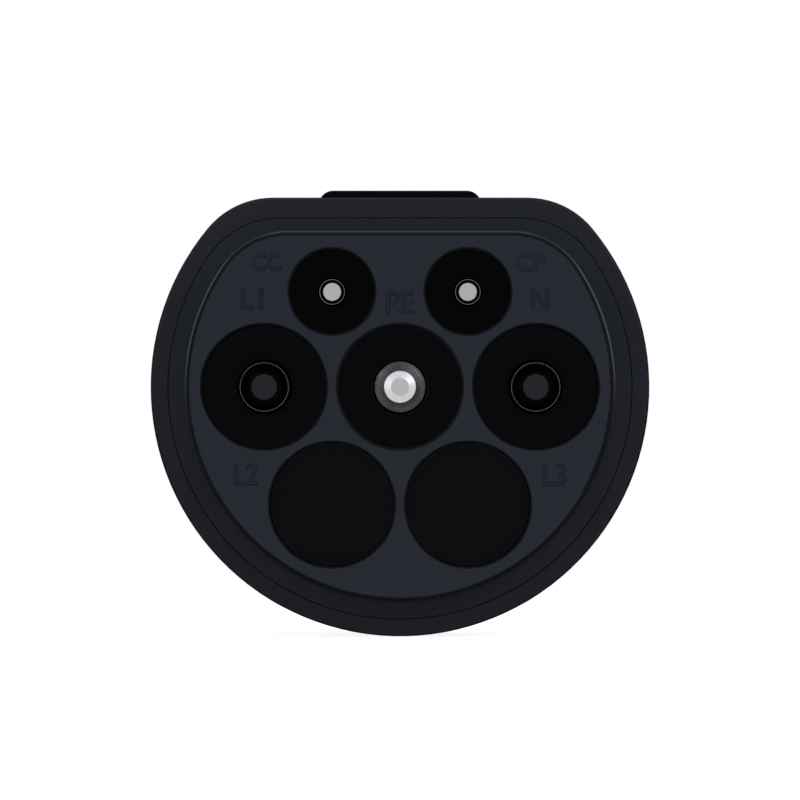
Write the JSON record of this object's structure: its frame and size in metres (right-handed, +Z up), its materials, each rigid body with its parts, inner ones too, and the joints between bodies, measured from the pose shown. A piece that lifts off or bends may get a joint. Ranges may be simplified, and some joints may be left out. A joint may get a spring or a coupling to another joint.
{
  "type": "electric vehicle charging adapter",
  "caption": "Single-phase charging adapter: D-shaped plug nose with recessed pins on one end, round inlet with a catch on the other.",
  "frame": {"origin": "under the middle of the adapter, on the surface that it lies on", "axes": "+X to the right as seen from the plug nose, +Y from the plug nose's face to the round inlet, +Z up to the shell's flat top"},
  "size_m": [0.059, 0.132, 0.0531],
  "materials": {
    "shell_plastic": "moulded polyamide with a fine spark-eroded texture",
    "insulator_plastic": "moulded glass-filled polyamide, smooth satin",
    "inlet_plastic": "moulded polycarbonate blend, semi-gloss",
    "plate_plastic": "moulded glass-filled polyamide",
    "guard_plastic": "moulded thermoplastic touch guard",
    "contact_metal": "silver-plated copper alloy, turned",
    "seal_rubber": "silicone rubber",
    "screw_steel": "stainless steel",
    "board_laminate": "glass-epoxy board with green mask",
    "resistor_lacquer": "lacquered resistor body",
    "brown_insulation": "cross-linked wire insulation",
    "blue_insulation": "cross-linked wire insulation",
    "green_insulation": "cross-linked wire insulation",
    "grey_insulation": "cross-linked wire insulation"
  },
  "bodies": {
    "root": {"nose_block": "insulator_plastic", "housing_shell": "shell_plastic", "rear_inlet": "inlet_plastic", "front_retainer": "plate_plastic", "inlet_retainer": "plate_plastic", "tip_cap_line": "guard_plastic", "tip_cap_neutral": "guard_plastic", "nose_gasket": "seal_rubber", "inlet_gasket": "seal_rubber", "groove_seal": "seal_rubber", "front_retainer_screws": "screw_steel", "inlet_retainer_screws": "screw_steel", "housing_screws": "screw_steel", "resistor_board": "board_laminate", "coding_resistor": "resistor_lacquer", "resistor_leads": "contact_metal", "wire_line": "brown_insulation", "wire_neutral": "blue_insulation", "wire_earth": "green_insulation", "wire_pilot": "grey_insulation", "wire_proximity": "grey_insulation", "pin_earth": "contact_metal", "pin_line": "contact_metal", "pin_neutral": "contact_metal", "pin_pilot": "contact_metal", "pin_confirm": "contact_metal", "inlet_pin_line": "contact_metal", "inlet_pin_neutral": "contact_metal", "inlet_pin_earth": "contact_metal", "inlet_pin_pilot": "contact_metal", "inlet_pin_proximity": "contact_metal"}
  },
  "joints": []
}
